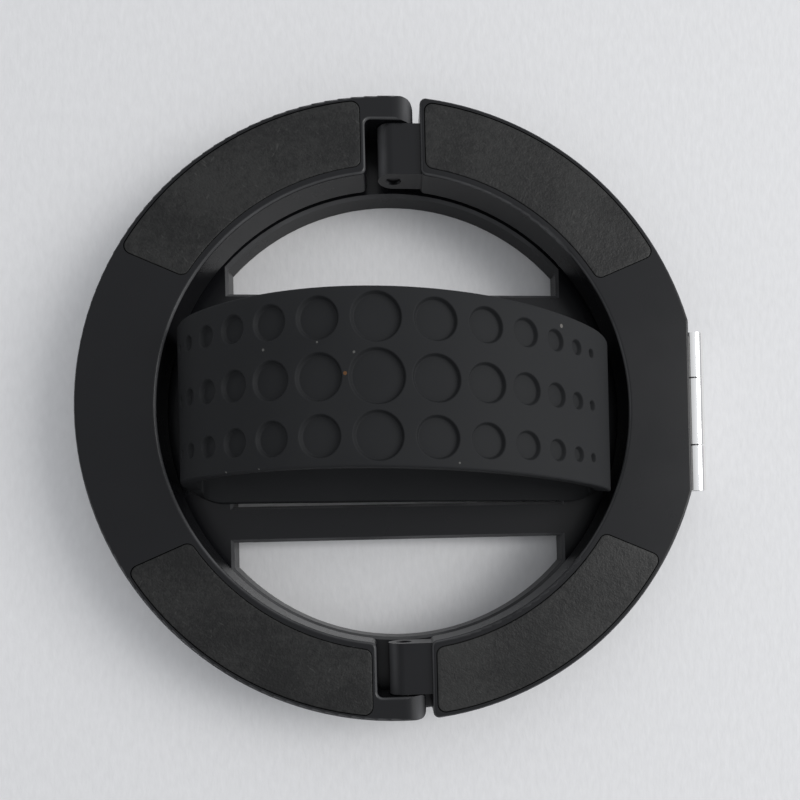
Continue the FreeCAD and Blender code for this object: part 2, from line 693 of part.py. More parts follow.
def make_base_magnets():
    """A closed ring of arc magnets, laid on the face pad."""
    body = new_body("base_magnets")
    body.AllowCompound = True
    plan = new_sketch(body, "plan", "XY_Plane", "sizes.face_pad_proud + sizes.face_pad_seat")
    inner, outer = size("base_magnet_inner_radius"), size("base_magnet_outer_radius")
    span = 2 * half_turn / BASE_MAGNETS - math.radians(size("magnet_gap_angle"))
    edges = add_sector(plan, inner, outer, 0.0, span)
    dimension(plan, named("base_magnet_outer_radius"), "Radius", edges[0], outer)
    dimension(plan, named("base_magnet_inner_radius"), "Radius", edges[2], inner)
    first = pad(body, plan, "magnet", "sizes.base_magnet_height")
    ring = body.newObject("PartDesign::PolarPattern", "magnet_ring")
    ring.Originals = [first]
    axis = next(feature for feature in body.Origin.OriginFeatures if feature.Role == "Z_Axis")
    ring.Axis = (axis, [""])
    ring.Angle = 360
    ring.Occurrences = BASE_MAGNETS
    body.Tip = ring
    doc.recompute()


def make_face_pad():
    """The soft ring that touches the phone and closes the magnet channel."""
    body = new_body("face_pad")
    plan = new_sketch(body, "plan", "XY_Plane", "0")
    add_circle(plan, named("face_pad_outer_radius"), size("face_pad_outer_radius"))
    add_circle(plan, named("face_pad_inner_radius"), size("face_pad_inner_radius"))
    pad(body, plan, "sheet", "sizes.face_pad_proud + sizes.face_pad_seat")


# Finger strap: one closed silicone band, arched above the ring, its flat run bonded to the side plates
class Arch:
    """The three-centred arch of the strap's outside: a crown arc between two flank arcs."""

    def __init__(self):
        span, rise = size("strap_half_span"), size("strap_rise")
        self.flank_radius = size("strap_flank_radius")
        self.flank_x = span - self.flank_radius
        over = rise - self.flank_radius
        self.drop = (self.flank_x ** 2 - over ** 2) / (2 * over)
        self.crown_radius = self.drop + rise
        self.spring = size("strap_spring_height")
        self.join = math.atan2(self.drop, self.flank_x)

    def at(self, along):
        """The point of the arch at a length from the crown, and the angle of its outward normal."""
        crown_half = (half_turn / 2 - self.join) * self.crown_radius
        side = 1 if along >= 0 else -1
        length = abs(along)
        if length <= crown_half:
            angle = half_turn / 2 - length / self.crown_radius
            x = self.crown_radius * math.cos(angle)
            z = self.spring - self.drop + self.crown_radius * math.sin(angle)
        else:
            angle = self.join - (length - crown_half) / self.flank_radius
            x = self.flank_x + self.flank_radius * math.cos(angle)
            z = self.spring + self.flank_radius * math.sin(angle)
        return Vector(side * x, 0, z), Vector(side * math.cos(angle), 0, math.sin(angle))


FLANK_X = f"({named('strap_half_span')} - sizes.strap_flank_radius)"
CROWN_OVER = "(sizes.strap_rise - sizes.strap_flank_radius)"
DROP = f"(({FLANK_X} ^ 2 - {CROWN_OVER} ^ 2) / (2 * {CROWN_OVER}))"


def add_band_outline(sketch, arch, inset, inset_name, floor, floor_name, turn, turn_name):
    """One closed outline of the band: crown, flanks, turns and flat run, tangent all round."""
    side = size("strap_half_span") - inset
    low = floor + turn
    crown, flank, join = arch.crown_radius - inset, arch.flank_radius - inset, arch.join
    edges = add_outline(sketch, [arc(crown, join, half_turn - join, 0.0, arch.spring - arch.drop),
                                 arc(flank, half_turn - join, half_turn, -arch.flank_x, arch.spring),
                                 line(-side, arch.spring, -side, low),
                                 arc(turn, half_turn, 3 * half_turn / 2, -side + turn, low),
                                 line(-side + turn, floor, side - turn, floor),
                                 arc(turn, -half_turn / 2, 0.0, side - turn, low),
                                 line(side, low, side, arch.spring),
                                 arc(flank, 0.0, join, arch.flank_x, arch.spring)], "Tangent")
    for edge, x in ((edges[1], -arch.flank_x), (edges[7], arch.flank_x)):
        ends = (-1, 1, edge, 3) if x > 0 else (edge, 3, -1, 1)
        dimension(sketch, FLANK_X, "DistanceX", *ends, abs(x))
        dimension(sketch, "sizes.strap_spring_height", "DistanceY", -1, 1, edge, 3, arch.spring)
        dimension(sketch, f"sizes.strap_flank_radius - {inset_name}", "Radius", edge, flank)
    dimension(sketch, DROP, "DistanceY", edges[0], 3, edges[1], 3, arch.drop)
    square_up(sketch, "Vertical", edges[2], edges[6])
    square_up(sketch, "Horizontal", edges[4])
    place_y(sketch, edges[4], floor_name, floor)
    for edge in (edges[3], edges[5]):
        dimension(sketch, turn_name, "Radius", edge, turn)


def make_strap():
    arch = Arch()
    band = doc.addObject("PartDesign::Body", "strap_band")
    profile = new_sketch(band, "profile", "XZ_Plane", "0")
    add_band_outline(profile, arch, 0.0, "0", base_top, BASE_TOP,
                     size("strap_turn_radius"), "sizes.strap_turn_radius")
    add_band_outline(profile, arch, size("strap_thickness"), "sizes.strap_thickness",
                     base_top + size("strap_run_thickness"),
                     f"{BASE_TOP} + sizes.strap_run_thickness",
                     size("strap_inner_turn_radius"), "sizes.strap_inner_turn_radius")
    width = pad(band, profile, "band", "2 * sizes.strap_half_width")
    width.SideType = "Symmetric"
    doc.recompute()
    half_width = size("strap_half_width")

    def is_outer_edge(edge):
        box = edge.BoundBox
        beside = box.YLength < 1e-6 and abs(abs(box.YMin) - half_width) < 1e-6
        middle = edge.valueAt((edge.FirstParameter + edge.LastParameter) / 2)
        return beside and is_outside(arch, middle)

    dress(band, "Fillet", "edges", edges_where(band.Shape, is_outer_edge), "sizes.strap_edge_radius")
    add_wide_run(band)
    cutters = doc.addObject("Part::Feature", "dimple_cutters")
    cutters.Shape = Part.makeCompound(dimple_tools(arch))
    strap = doc.addObject("Part::Cut", "finger_strap")
    strap.Label = "finger_strap"
    strap.Base = band
    strap.Tool = cutters
    parts.append(strap)
    doc.recompute()


def add_wide_run(band):
    """The flat run is wider than the arch and covers the middle window but for a slit along each bar."""
    run = new_sketch(band, "run_outline", "XY_Plane", BASE_TOP)
    length, length_name = size("strap_run_half_length"), named("strap_run_half_length")
    width, width_name = size("strap_run_half_width"), named("strap_run_half_width")
    add_rectangle(run, (-length, length_name), (length, length_name), (-width, width_name),
                  (width, width_name))
    pad(band, run, "wide_run", "sizes.strap_run_thickness")
    top = base_top + size("strap_run_thickness")
    corners = edges_where(band.Shape, lambda edge: stands(edge, base_top, top))
    dress(band, "Fillet", "run_corners", corners, "sizes.strap_run_corner_radius")


def is_outside(arch, point):
    """True for a point of the band's outer outline, and false for one of its inner outline."""
    middle = size("strap_thickness") / 2
    if point.z < base_top + size("strap_run_thickness") / 2:
        return True
    if abs(point.x) > size("strap_half_span") - middle:
        return True
    if point.z <= arch.spring:
        return False
    centre = Vector(0, 0, arch.spring - arch.drop)
    if math.atan2(point.z - centre.z, abs(point.x)) > arch.join:
        return (Vector(point.x, 0, point.z) - centre).Length > arch.crown_radius - middle
    flank = Vector(math.copysign(arch.flank_x, point.x), 0, arch.spring)
    return (Vector(point.x, 0, point.z) - flank).Length > arch.flank_radius - middle


def dimple_tools(arch):
    """Short cylinders that sink the rows of shallow round dimples, in a band that has slid to one side."""
    depth = size("dimple_depth")
    tools = []
    along = 0.0
    for column in range(DIMPLE_COLUMNS_EACH_SIDE + 1):
        radius = (size("dimple_diameter") - column * size("dimple_diameter_step")) / 2
        for side in ((1, -1) if column else (1,)):
            point, outward = arch.at(side * along - size("dimple_slide"))
            for row in (1, 0, -1):
                width = radius if row == 0 else radius * size("dimple_side_row_share")
                foot = point - outward * depth + Vector(0, row * size("dimple_row_pitch"), 0)
                tools.append(Part.makeCylinder(width, 2 * depth, foot, outward))
        along += size("dimple_first_pitch") - column * size("dimple_pitch_step")
    return tools


# Lift hinge: two leaves between the rings, their knuckles and the pin through them
def make_leaf(label, bottom, arm_rows, knuckles, head_edge_height):
    """A leaf plate with its arms, rolled knuckles, pin bore and countersunk screw holes."""
    body = new_body(label)
    inner = size("flat_distance") - size("leaf_depth")
    axis = size("hinge_x")
    stop = axis - size("barrel_radius") - size("barrel_relief")
    half = size("leaf_half_length")
    stop_name = f"{HINGE_X} - sizes.barrel_radius - sizes.barrel_relief"
    plate = new_sketch(body, "plate_outline", "XY_Plane", bottom)
    add_rectangle(plate, (inner, f"{named('flat_distance')} - sizes.leaf_depth"), (stop, stop_name),
                  (-half, "sizes.leaf_half_length"), (half, "sizes.leaf_half_length"))
    pad(body, plate, "plate", "sizes.leaf_thickness")
    arms = new_sketch(body, "arms_outline", "XY_Plane", bottom)
    root = stop - size("barrel_relief")
    for low, high in arm_rows:
        add_rectangle(arms, (root, f"{stop_name} - sizes.barrel_relief"), (axis, HINGE_X), low, high)
    pad(body, arms, "arms", "sizes.leaf_thickness")
    height = base_top + size("ring_gap") / 2
    for number, (start, length) in enumerate(knuckles, start=1):
        roll = new_sketch(body, f"knuckle_{number}_side", "XZ_Plane", start)
        edge = add_circle(roll, "sizes.barrel_radius", size("barrel_radius"), axis, height)
        fix_centre(roll, edge, (axis, HINGE_X), (height, HINGE_HEIGHT))
        pad(body, roll, f"knuckle_{number}", length)
    bore = new_sketch(body, "pin_hole", "XZ_Plane", "sizes.leaf_half_length")
    edge = add_circle(bore, "sizes.hinge_pin_radius + sizes.hinge_pin_clearance",
                      size("hinge_pin_radius") + size("hinge_pin_clearance"), axis, height)
    fix_centre(bore, edge, (axis, HINGE_X), (height, HINGE_HEIGHT))
    pocket(body, bore, "pin_bore")
    holes = new_sketch(body, "screw_holes", "XY_Plane", f"{bottom} + sizes.leaf_thickness")
    add_screw_circles(holes)
    pocket(body, holes, "screw_bores")
    reach = axis - size("barrel_radius")
    heads = edges_where(body.Shape, lambda edge: lies_at(edge, head_edge_height)
                        and edge.Curve.TypeId == "Part::GeomCircle" and edge.BoundBox.XMax < reach)
    dress(body, "Chamfer", "countersinks", heads, "sizes.screw_head_height")


def make_hinge():
    half, middle = size("leaf_half_length"), size("knuckle_half_length")
    gap = size("knuckle_gap") / 2
    outer_name = "sizes.knuckle_half_length + sizes.knuckle_gap / 2"
    inner_name = "sizes.knuckle_half_length - sizes.knuckle_gap / 2"
    end = (half, "sizes.leaf_half_length")
    near = (middle + gap, outer_name)
    ring_end = (middle - gap, inner_name)

    def below(pair):
        return -pair[0], pair[1]

    end_length = f"sizes.leaf_half_length - ({outer_name})"
    make_leaf("base_hinge_leaf", BASE_TOP, ((near, end), (below(end), below(near))),
              (("-sizes.leaf_half_length", end_length), (outer_name, end_length)),
              base_top + size("leaf_thickness"))
    make_leaf("ring_hinge_leaf", f"({RING_BOTTOM} - sizes.leaf_thickness)", ((below(ring_end), ring_end),),
              ((f"-({inner_name})", f"2 * ({inner_name})"),), ring_bottom - size("leaf_thickness"))
    pin = doc.addObject("Part::Cylinder", "hinge_pin")
    pin.Label = "hinge_pin"
    pin.setExpression("Radius", "sizes.hinge_pin_radius")
    pin.setExpression("Height", "2 * sizes.leaf_half_length")
    pin.Placement = Placement(Vector(), Rotation(Vector(1, 0, 0), -90))
    pin.setExpression("Placement.Base.x", HINGE_X)
    pin.setExpression("Placement.Base.y", "-sizes.leaf_half_length")
    pin.setExpression("Placement.Base.z", HINGE_HEIGHT)
    parts.append(pin)


def make_screws(label, head_face, up):
    """Two countersunk screws whose heads lie flush in a leaf and whose points go up or down."""
    pieces = []
    for word, side in (("first", "1"), ("second", "-1")):
        head = doc.addObject("Part::Cone", f"{label}_{word}_head")
        head.setExpression("Radius1", "sizes.screw_head_radius")
        head.setExpression("Radius2", "sizes.screw_radius")
        head.setExpression("Height", "sizes.screw_head_height")
        shank = doc.addObject("Part::Cylinder", f"{label}_{word}_shank")
        shank.setExpression("Radius", "sizes.screw_radius")
        shank.setExpression("Height", "sizes.leaf_thickness + sizes.screw_depth - sizes.screw_clearance")
        for piece in (head, shank):
            piece.Placement = Placement(Vector(), Rotation(Vector(1, 0, 0), 0 if up else 180))
            piece.setExpression("Placement.Base.x", SCREW_X)
            piece.setExpression("Placement.Base.y", f"{side} * sizes.screw_spacing_half")
            piece.setExpression("Placement.Base.z", head_face)
        screw = doc.addObject("Part::Fuse", f"{label}_{word}")
        screw.Base = head
        screw.Tool = shank
        pieces.append(screw)
    group = doc.addObject("Part::Compound", label)
    group.Label = label
    group.Links = pieces
    parts.append(group)


make_base()
make_base_magnets()
make_face_pad()
make_strap()
make_right_half()
make_left_half()
make_fold_pins()
make_pads()
make_hinge()
make_screws("base_leaf_screws", f"{BASE_TOP} + sizes.leaf_thickness", False)
make_screws("ring_leaf_screws", f"{RING_BOTTOM} - sizes.leaf_thickness", True)
doc.recompute()

failed = [item.Name for item in doc.Objects if "Invalid" in item.State or "Error" in item.State]
if failed:
    raise RuntimeError(f"objects left in error: {failed}")
for part in parts:
    if part.Shape.isNull() or not part.Shape.isValid():
        raise RuntimeError(f"{part.Label} has no sound shape")

os.makedirs("parts", exist_ok=True)
for part in parts:
    part.Shape.exportStep(f"parts/{part.Label}.step")
    print(part.Label, len(part.Shape.Solids), round(part.Shape.Volume, 2))
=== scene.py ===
import math

import bpy
import numpy as np
from mathutils import Matrix, Vector
from mathutils.geometry import delaunay_2d_cdt


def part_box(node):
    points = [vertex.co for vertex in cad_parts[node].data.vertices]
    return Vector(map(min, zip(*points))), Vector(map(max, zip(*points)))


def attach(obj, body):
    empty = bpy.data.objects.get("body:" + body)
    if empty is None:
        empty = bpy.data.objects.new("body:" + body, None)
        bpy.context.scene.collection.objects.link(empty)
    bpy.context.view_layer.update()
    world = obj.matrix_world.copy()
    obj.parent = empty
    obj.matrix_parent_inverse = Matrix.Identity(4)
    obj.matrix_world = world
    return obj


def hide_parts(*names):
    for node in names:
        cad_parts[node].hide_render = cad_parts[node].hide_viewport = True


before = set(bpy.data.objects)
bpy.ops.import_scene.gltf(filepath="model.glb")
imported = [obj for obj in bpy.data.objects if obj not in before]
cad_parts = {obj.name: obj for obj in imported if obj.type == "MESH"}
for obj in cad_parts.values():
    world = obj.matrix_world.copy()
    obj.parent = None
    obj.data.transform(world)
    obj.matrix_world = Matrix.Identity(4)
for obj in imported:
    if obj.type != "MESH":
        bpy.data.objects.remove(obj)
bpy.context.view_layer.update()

scene = bpy.context.scene
scene.view_settings.view_transform = "Standard"


# Table top, light and camera
# The grip lies on a sheet of pale paper with a faint upright fibre. The room is lighter toward the
# right, where a broad soft lamp stands, and the camera looks down from nearly straight above.
def new_finish(name, **sockets):
    """A material with plain values set on its shader; gives the material, its tree and its shader."""
    finish = bpy.data.materials.new(name)
    finish.use_nodes = True
    shader = finish.node_tree.nodes["Principled BSDF"]
    for socket, value in sockets.items():
        shader.inputs[socket.replace("_", " ")].default_value = value
    return finish, finish.node_tree, shader


def reckon(tree, operation, *terms):
    """A math node on sockets or plain numbers; gives its output."""
    node = tree.nodes.new("ShaderNodeMath")
    node.operation = operation
    for socket, term in zip(node.inputs, terms):
        if isinstance(term, (int, float)):
            socket.default_value = term
        else:
            tree.links.new(term, socket)
    return node.outputs["Value"]


def ramp(tree, value, start, end):
    """Goes smoothly from 0 to 1 as a value goes from start to end."""
    node = tree.nodes.new("ShaderNodeMapRange")
    node.interpolation_type = "SMOOTHSTEP"
    node.inputs["From Min"].default_value = start
    node.inputs["From Max"].default_value = end
    tree.links.new(value, node.inputs["Value"])
    return node.outputs["Result"]


def mix_colours(tree, share, first, second):
    """Goes from the first colour to the second, each a plain colour or an output."""
    node = tree.nodes.new("ShaderNodeMix")
    node.data_type = "RGBA"
    tree.links.new(share, node.inputs["Factor"])
    for socket, colour in (("A", first), ("B", second)):
        if isinstance(colour, tuple):
            node.inputs[socket].default_value = (*colour, 1)
        else:
            tree.links.new(colour, node.inputs[socket])
    return node.outputs["Result"]


def noise(tree, scale, detail, vector=None):
    """A noise value over the object's own space, or over a given vector."""
    if vector is None:
        vector = tree.nodes.new("ShaderNodeTexCoord").outputs["Object"]
    node = tree.nodes.new("ShaderNodeTexNoise")
    node.inputs["Detail"].default_value = detail
    if isinstance(scale, (int, float)):
        node.inputs["Scale"].default_value = scale
    else:
        tree.links.new(scale, node.inputs["Scale"])
    tree.links.new(vector, node.inputs["Vector"])
    return node.outputs["Fac"]


def roughen(tree, shader, height, strength, distance):
    """Feeds a height through a bump into the shader's normal."""
    bump = tree.nodes.new("ShaderNodeBump")
    bump.inputs["Strength"].default_value = strength
    bump.inputs["Distance"].default_value = distance
    tree.links.new(height, bump.inputs["Height"])
    tree.links.new(bump.outputs["Normal"], shader.inputs["Normal"])


def new_effect(name, inputs, output):
    """A node group with number inputs and one number output; gives it, its inputs and its output."""
    group = bpy.data.node_groups.new(name, "ShaderNodeTree")
    for socket in inputs:
        group.interface.new_socket(socket, in_out="INPUT", socket_type="NodeSocketFloat")
    group.interface.new_socket(output, in_out="OUTPUT", socket_type="NodeSocketFloat")
    given = group.nodes.new("NodeGroupInput").outputs
    return group, given, group.nodes.new("NodeGroupOutput").inputs[output]


def use_effect(tree, group, **values):
    """Places an effect in a material with its own values; gives its output."""
    node = tree.nodes.new("ShaderNodeGroup")
    node.node_tree = group
    for socket, value in values.items():
        node.inputs[socket].default_value = value
    return node.outputs[0]


# Streaks: noise drawn out along one direction in the plane of the table
streaks, given, result = new_effect("streaks", ("Scale", "Squash", "Turn"), "Value")
streak_place = streaks.nodes.new("ShaderNodeTexCoord")
streak_turn = streaks.nodes.new("ShaderNodeVectorRotate")
streak_turn.rotation_type = "Z_AXIS"
streak_squash = streaks.nodes.new("ShaderNodeCombineXYZ")
streak_squash.inputs["X"].default_value = 1.0
streak_squash.inputs["Z"].default_value = 1.0
streak_drawn = streaks.nodes.new("ShaderNodeVectorMath")
streak_drawn.operation = "MULTIPLY"
streaks.links.new(streak_place.outputs["Object"], streak_turn.inputs["Vector"])
streaks.links.new(given["Turn"], streak_turn.inputs["Angle"])
streaks.links.new(given["Squash"], streak_squash.inputs["Y"])
streaks.links.new(streak_turn.outputs["Vector"], streak_drawn.inputs[0])
streaks.links.new(streak_squash.outputs["Vector"], streak_drawn.inputs[1])
streak_noise = noise(streaks, given["Scale"], detail=3.0, vector=streak_drawn.outputs["Vector"])
streaks.links.new(streak_noise, result)

FIBRE_DARK, FIBRE_PALE = (0.730, 0.730, 0.740), (0.820, 0.820, 0.832)
paper, tree, shader = new_finish("pale_paper", Roughness=0.9, Specular_IOR_Level=0.2)
fibre = use_effect(tree, streaks, Scale=1700.0, Squash=0.40, Turn=0.06)
tree.links.new(mix_colours(tree, fibre, FIBRE_DARK, FIBRE_PALE), shader.inputs["Base Color"])
roughen(tree, shader, fibre, strength=0.2, distance=0.00015)

TABLE_REACH = 3.0
table_corners = [(x * TABLE_REACH, y * TABLE_REACH, 0) for x, y in ((-1, -1), (1, -1), (1, 1), (-1, 1))]
table_mesh = bpy.data.meshes.new("table_top")
table_mesh.from_pydata(table_corners, [], [(0, 1, 2, 3)])
table_mesh.materials.append(paper)
table_top = bpy.data.objects.new("table_top", table_mesh)
scene.collection.objects.link(table_top)

# The room grows brighter from its dim side to its light side, and from its horizon upward
ROOM_TINT, LIGHT_SIDE = (0.95, 0.97, 1.0, 1), (0.95, 0.30, 0.0)
DIM_SIDE, BRIGHT_SIDE = 0.32, 1.16
HORIZON_SHARE, FULL_LIGHT_HEIGHT = 0.40, 0.85
room = bpy.data.worlds.new("room")
room.use_nodes = True
scene.world = room
room_tree = room.node_tree
room_light = room_tree.nodes["Background"]
room_light.inputs["Color"].default_value = ROOM_TINT
room_place = room_tree.nodes.new("ShaderNodeTexCoord")
room_side = room_tree.nodes.new("ShaderNodeVectorMath")
room_side.operation = "DOT_PRODUCT"
room_side.inputs[1].default_value = LIGHT_SIDE
room_tree.links.new(room_place.outputs["Generated"], room_side.inputs[0])
toward = reckon(room_tree, "MULTIPLY_ADD", room_side.outputs["Value"], 0.5, 0.5)
level = reckon(room_tree, "MULTIPLY_ADD", toward, BRIGHT_SIDE - DIM_SIDE, DIM_SIDE)
room_split = room_tree.nodes.new("ShaderNodeSeparateXYZ")
room_tree.links.new(room_place.outputs["Generated"], room_split.inputs["Vector"])
high = ramp(room_tree, room_split.outputs["Z"], start=0.0, end=FULL_LIGHT_HEIGHT)
lit = reckon(room_tree, "MULTIPLY_ADD", high, 1 - HORIZON_SHARE, HORIZON_SHARE)
room_tree.links.new(reckon(room_tree, "MULTIPLY", level, lit), room_light.inputs["Strength"])

lamp = bpy.data.lights.new("soft_lamp", "AREA")
lamp.shape = "SQUARE"
lamp.size = 0.28
lamp.energy = 1.50
lamp.color = (1.0, 0.99, 0.97)
lamp_stand = bpy.data.objects.new("soft_lamp", lamp)
lamp_stand.location = (0.42, 0.05, 0.37)
lamp_stand.rotation_mode = "QUATERNION"
lamp_stand.rotation_quaternion = (-lamp_stand.location).to_track_quat("-Z", "Y")
scene.collection.objects.link(lamp_stand)

# The camera is turned from straight down about an axis that is as long as its angle
CAMERA_PLACE, CAMERA_TURN = Vector((-0.001331, -0.013502, 0.081164)), Vector((0.0050, -0.0831, -0.0230))
lens = bpy.data.cameras.new("camera")
lens.sensor_width = 36.0
lens.lens = 33.3
lens.shift_x = -0.0625
lens.shift_y = 0.175
lens.clip_start = 0.005
camera = bpy.data.objects.new("camera", lens)
camera.matrix_world = (Matrix.Translation(CAMERA_PLACE)
                       @ Matrix.Rotation(CAMERA_TURN.length, 4, CAMERA_TURN.normalized()))
scene.collection.objects.link(camera)
scene.camera = camera


# Base ring
# A flat ring with two bars across it, die cast in light alloy, blasted and coloured satin black.
# It carries the strap, the lower hinge leaf and, from below, a ring of magnets.

# Handling: slow cloudy variation of a finish, a value about zero
CLOUD_MIDDLE = 0.5
cloud, given, result = new_effect("handling_cloud", ("Scale",), "Value")
cloud_noise = noise(cloud, given["Scale"], detail=3.0)
cloud.links.new(reckon(cloud, "SUBTRACT", cloud_noise, CLOUD_MIDDLE), result)

# Dust: small pale specks, in some of the cells of a random pattern only
dust, given, result = new_effect("dust_specks", ("Scale", "Share", "Radius"), "Mask")
dust_place = dust.nodes.new("ShaderNodeTexCoord")
dust_cells = dust.nodes.new("ShaderNodeTexVoronoi")
dust_split = dust.nodes.new("ShaderNodeSeparateColor")
dust.links.new(dust_place.outputs["Object"], dust_cells.inputs["Vector"])
dust.links.new(given["Scale"], dust_cells.inputs["Scale"])
dust.links.new(dust_cells.outputs["Color"], dust_split.inputs["Color"])
dust_near = reckon(dust, "LESS_THAN", dust_cells.outputs["Distance"], given["Radius"])
dust_some = reckon(dust, "LESS_THAN", dust_split.outputs["Red"], given["Share"])
dust_both = reckon(dust, "MULTIPLY", dust_near, dust_some)
dust.links.new(reckon(dust, "MULTIPLY", dust_both, dust_split.outputs["Green"]), result)


def mottle(tree, handled, dark, pale):
    """A colour that wanders between a dark and a pale one with the handling cloud."""
    return mix_colours(tree, reckon(tree, "ADD", handled, CLOUD_MIDDLE), dark, pale)


ALLOY_DARK, ALLOY_PALE = (0.0048, 0.0050, 0.0062), (0.0078, 0.0080, 0.0094)
# The pale edge colour below is partly wear and partly a painted highlight along the rounded edges
ALLOY_WEAR_AND_HIGHLIGHT, ALLOY_DUST = (0.130, 0.131, 0.135), (0.12, 0.12, 0.12)
ALLOY_SHEEN, USUAL_WEAR_AND_HIGHLIGHT = 0.27, 0.6
ALLOY_ROUGHNESS, ALLOY_UNEVEN, RUBBED_ROUGHNESS = 0.28, 0.10, -0.08
black_alloy, tree, shader = new_finish("satin_black_alloy", Roughness=ALLOY_ROUGHNESS,
                                       Specular_IOR_Level=ALLOY_SHEEN)
handled = use_effect(tree, cloud, Scale=150.0)
tone = mottle(tree, handled, ALLOY_DARK, ALLOY_PALE)
# Edges: the rounded edges, neither level nor upright, are rubbed smoother by handling and painted paler,
# partly as wear and partly as a painted highlight
alloy_place = tree.nodes.new("ShaderNodeTexCoord")
alloy_split = tree.nodes.new("ShaderNodeSeparateXYZ")
tree.links.new(alloy_place.outputs["Normal"], alloy_split.inputs["Vector"])
facing_up = alloy_split.outputs["Z"]
not_level = ramp(tree, facing_up, start=0.99, end=0.72)
not_upright = ramp(tree, facing_up, start=0.05, end=0.40)
rounded = reckon(tree, "MULTIPLY", not_level, not_upright)
wear_and_highlight = reckon(tree, "MULTIPLY", rounded, reckon(tree, "ADD", handled, USUAL_WEAR_AND_HIGHLIGHT))
tone = mix_colours(tree, wear_and_highlight, tone, ALLOY_WEAR_AND_HIGHLIGHT)
specks = use_effect(tree, dust, Scale=800.0, Share=0.03, Radius=0.13)
tree.links.new(mix_colours(tree, specks, tone, ALLOY_DUST), shader.inputs["Base Color"])
# Steep edges: matt, since the blasted surface gives no mirror image of the table at a low angle
not_wall = ramp(tree, facing_up, start=0.005, end=0.06)
steep = reckon(tree, "MULTIPLY", ramp(tree, facing_up, start=0.86, end=0.66), not_wall)
sheen = reckon(tree, "MULTIPLY_ADD", steep, -ALLOY_SHEEN, ALLOY_SHEEN)
tree.links.new(sheen, shader.inputs["Specular IOR Level"])
uneven = reckon(tree, "MULTIPLY_ADD", handled, ALLOY_UNEVEN, ALLOY_ROUGHNESS)
tree.links.new(reckon(tree, "MULTIPLY_ADD", wear_and_highlight, RUBBED_ROUGHNESS, uneven), shader.inputs["Roughness"])
roughen(tree, shader, noise(tree, scale=9000.0, detail=2.0), strength=0.10, distance=0.00002)


def paint(finish, *nodes):
    """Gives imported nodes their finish."""
    for node in nodes:
        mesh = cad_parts[node].data
        mesh.materials.clear()
        mesh.materials.append(finish)


paint(black_alloy, "base_frame")


# Magnets and face pad
# Nickel-plated arc magnets lie in channels, sixteen under the base and four under each pad. A soft
# ring of rubber foam, bonded into a shallow seat, closes the base's channel and faces the phone.
NICKEL_DARK, NICKEL_PALE = (0.52, 0.51, 0.48), (0.68, 0.67, 0.64)
nickel, tree, shader = new_finish("nickel_plate", Metallic=1.0, Roughness=0.28)
handled = use_effect(tree, cloud, Scale=300.0)
tree.links.new(mottle(tree, handled, NICKEL_DARK, NICKEL_PALE), shader.inputs["Base Color"])
paint(nickel, "base_magnets", "upper_left_magnets", "lower_left_magnets", "upper_right_magnets",
      "lower_right_magnets")

MM = 0.001


def smooth_mesh(name, points, faces, finish):
    """A smooth-shaded mesh object, its points given in millimetres."""
    mesh = bpy.data.meshes.new(name)
    mesh.from_pydata(np.asarray(points) * MM, [], faces)
    mesh.polygons.foreach_set("use_smooth", [True] * len(mesh.polygons))
    mesh.materials.append(finish)
    made = bpy.data.objects.new(name, mesh)
    scene.collection.objects.link(made)
    return made


def band_between(here, there, count):
    """Four-sided faces between two closed rows of points, given by each row's first point."""
    return [(here + step, there + step, there + (step + 1) % count, here + (step + 1) % count)
            for step in range(count)]


FOAM_DARK, FOAM_PALE = (0.011, 0.011, 0.012), (0.021, 0.021, 0.022)
foam, tree, shader = new_finish("soft_rubber_foam", Roughness=0.75, Specular_IOR_Level=0.25)
pores = noise(tree, scale=4200.0, detail=3.0)
tree.links.new(mix_colours(tree, pores, FOAM_DARK, FOAM_PALE), shader.inputs["Base Color"])
roughen(tree, shader, pores, strength=0.35, distance=0.00005)

FACE_PAD_BAND, FACE_PAD_ROUND = 5.2, 0.18
FACE_PAD_STATIONS, FACE_PAD_ROUND_STEPS = 160, 6
face_high = np.array(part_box("face_pad")[1]) / MM
face_outer, face_thick = face_high[0], face_high[2]
face_inner = face_outer - FACE_PAD_BAND
section = []
for x, z, start in ((face_outer, face_thick, 0), (face_inner, face_thick, 90),
                    (face_inner, 0.0, 180), (face_outer, 0.0, 270)):
    middle_x = x - math.copysign(FACE_PAD_ROUND, x - face_outer + FACE_PAD_BAND / 2)
    middle_z = z - math.copysign(FACE_PAD_ROUND, z - face_thick / 2)
    for turn in np.radians(np.linspace(start, start + 90, FACE_PAD_ROUND_STEPS)):
        section.append((middle_x + FACE_PAD_ROUND * math.cos(turn),
                        middle_z + FACE_PAD_ROUND * math.sin(turn)))
points = [(radius * math.cos(angle), radius * math.sin(angle), z)
          for angle in np.linspace(0, 2 * math.pi, FACE_PAD_STATIONS, endpoint=False)
          for radius, z in section]
faces = []
for station in range(FACE_PAD_STATIONS):
    ahead = (station + 1) % FACE_PAD_STATIONS
    faces += band_between(station * len(section), ahead * len(section), len(section))
face_ring = smooth_mesh("foam_face_ring", points, faces, foam)
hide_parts("face_pad")
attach(face_ring, "base")


